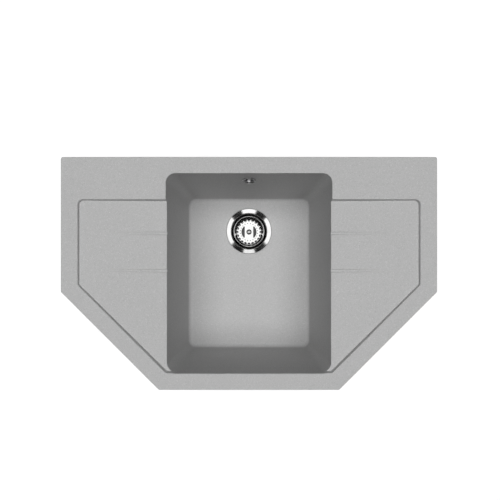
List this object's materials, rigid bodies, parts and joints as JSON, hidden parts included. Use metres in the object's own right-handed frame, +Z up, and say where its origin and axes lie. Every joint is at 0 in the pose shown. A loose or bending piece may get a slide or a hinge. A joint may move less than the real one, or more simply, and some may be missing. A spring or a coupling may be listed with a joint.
{
  "type": "kitchen sink",
  "caption": "Corner inset kitchen sink: cut-corner rim, grooved drainers either side of a deep bowl, lift-out basket strainer, wall overflow with hose, and worktop clips.",
  "frame": {"origin": "middle of the rim's outline, on its underside, in the plane of the worktop's face", "axes": "+X to the right, +Y to the rear, +Z up"},
  "size_m": [0.78, 0.483, 0.2961],
  "materials": {
    "composite": "fine matt speckle",
    "foam": "closed-cell foam",
    "polished_steel": "polished",
    "rubber": "matt",
    "white_plastic": "moulded",
    "grey_plastic": "moulded",
    "hose_plastic": "moulded",
    "brass": "turned",
    "chrome": "plated",
    "zinc_steel": "zinc plated"
  },
  "bodies": {
    "sink": {"sink_body": "composite", "rim_seal": "foam", "strainer_flange": "polished_steel", "clamp_screw": "polished_steel", "flange_gasket": "rubber", "body_gasket": "rubber", "overflow_gasket": "rubber", "hose_washer_upper": "rubber", "hose_washer_lower": "rubber", "waste_body": "white_plastic", "hose_nut_upper": "white_plastic", "hose_nut_lower": "white_plastic", "overflow_elbow": "grey_plastic", "clip_dowels": "grey_plastic", "overflow_hose": "hose_plastic", "thread_insert": "brass", "overflow_rosette": "chrome", "overflow_screw": "chrome"},
    "basket": {"basket_cup": "polished_steel", "basket_rivet": "polished_steel", "basket_well": "grey_plastic", "basket_stem": "grey_plastic", "stem_washer": "polished_steel", "stopper_seal": "rubber"},
    "screw_rear_left": {"clip_screw_rear_left": "zinc_steel"},
    "arm_rear_left": {"clip_arm_rear_left": "zinc_steel"},
    "screw_rear_right": {"clip_screw_rear_right": "zinc_steel"},
    "arm_rear_right": {"clip_arm_rear_right": "zinc_steel"},
    "screw_side_left": {"clip_screw_side_left": "zinc_steel"},
    "arm_side_left": {"clip_arm_side_left": "zinc_steel"},
    "screw_side_right": {"clip_screw_side_right": "zinc_steel"},
    "arm_side_right": {"clip_arm_side_right": "zinc_steel"},
    "screw_front_left": {"clip_screw_front_left": "zinc_steel"},
    "arm_front_left": {"clip_arm_front_left": "zinc_steel"},
    "screw_front_right": {"clip_screw_front_right": "zinc_steel"},
    "arm_front_right": {"clip_arm_front_right": "zinc_steel"}
  },
  "joints": [
    {"name": "basket_lift", "type": "slide", "parent": "sink", "child": "basket", "axis": [0, 0, 1], "range_m": [0, 0.26]},
    {"name": "clip_lift_rear_left", "type": "slide", "parent": "sink", "child": "screw_rear_left", "axis": [0, 0, 1], "range_m": [0, 0.006]},
    {"name": "clip_swing_rear_left", "type": "hinge", "parent": "screw_rear_left", "child": "arm_rear_left", "pos_m": [-0.25, 0.2125, -0.047], "axis": [0, 0, 1], "range_deg": [0, 90]},
    {"name": "clip_lift_rear_right", "type": "slide", "parent": "sink", "child": "screw_rear_right", "axis": [0, 0, 1], "range_m": [0, 0.006]},
    {"name": "clip_swing_rear_right", "type": "hinge", "parent": "screw_rear_right", "child": "arm_rear_right", "pos_m": [0.25, 0.2125, -0.047], "axis": [0, 0, -1], "range_deg": [0, 90]},
    {"name": "clip_lift_side_left", "type": "slide", "parent": "sink", "child": "screw_side_left", "axis": [0, 0, 1], "range_m": [0, 0.006]},
    {"name": "clip_swing_side_left", "type": "hinge", "parent": "screw_side_left", "child": "arm_side_left", "pos_m": [-0.361, 0.09, -0.047], "axis": [0, 0, 1], "range_deg": [0, 90]},
    {"name": "clip_lift_side_right", "type": "slide", "parent": "sink", "child": "screw_side_right", "axis": [0, 0, 1], "range_m": [0, 0.006]},
    {"name": "clip_swing_side_right", "type": "hinge", "parent": "screw_side_right", "child": "arm_side_right", "pos_m": [0.361, 0.09, -0.047], "axis": [0, 0, -1], "range_deg": [0, 90]},
    {"name": "clip_lift_front_left", "type": "slide", "parent": "sink", "child": "screw_front_left", "axis": [0, 0, 1], "range_m": [0, 0.006]},
    {"name": "clip_swing_front_left", "type": "hinge", "parent": "screw_front_left", "child": "arm_front_left", "pos_m": [-0.26799, -0.11949, -0.047], "axis": [0, 0, 1], "range_deg": [0, 90]},
    {"name": "clip_lift_front_right", "type": "slide", "parent": "sink", "child": "screw_front_right", "axis": [0, 0, 1], "range_m": [0, 0.006]},
    {"name": "clip_swing_front_right", "type": "hinge", "parent": "screw_front_right", "child": "arm_front_right", "pos_m": [0.26799, -0.11949, -0.047], "axis": [0, 0, -1], "range_deg": [0, 90]}
  ]
}
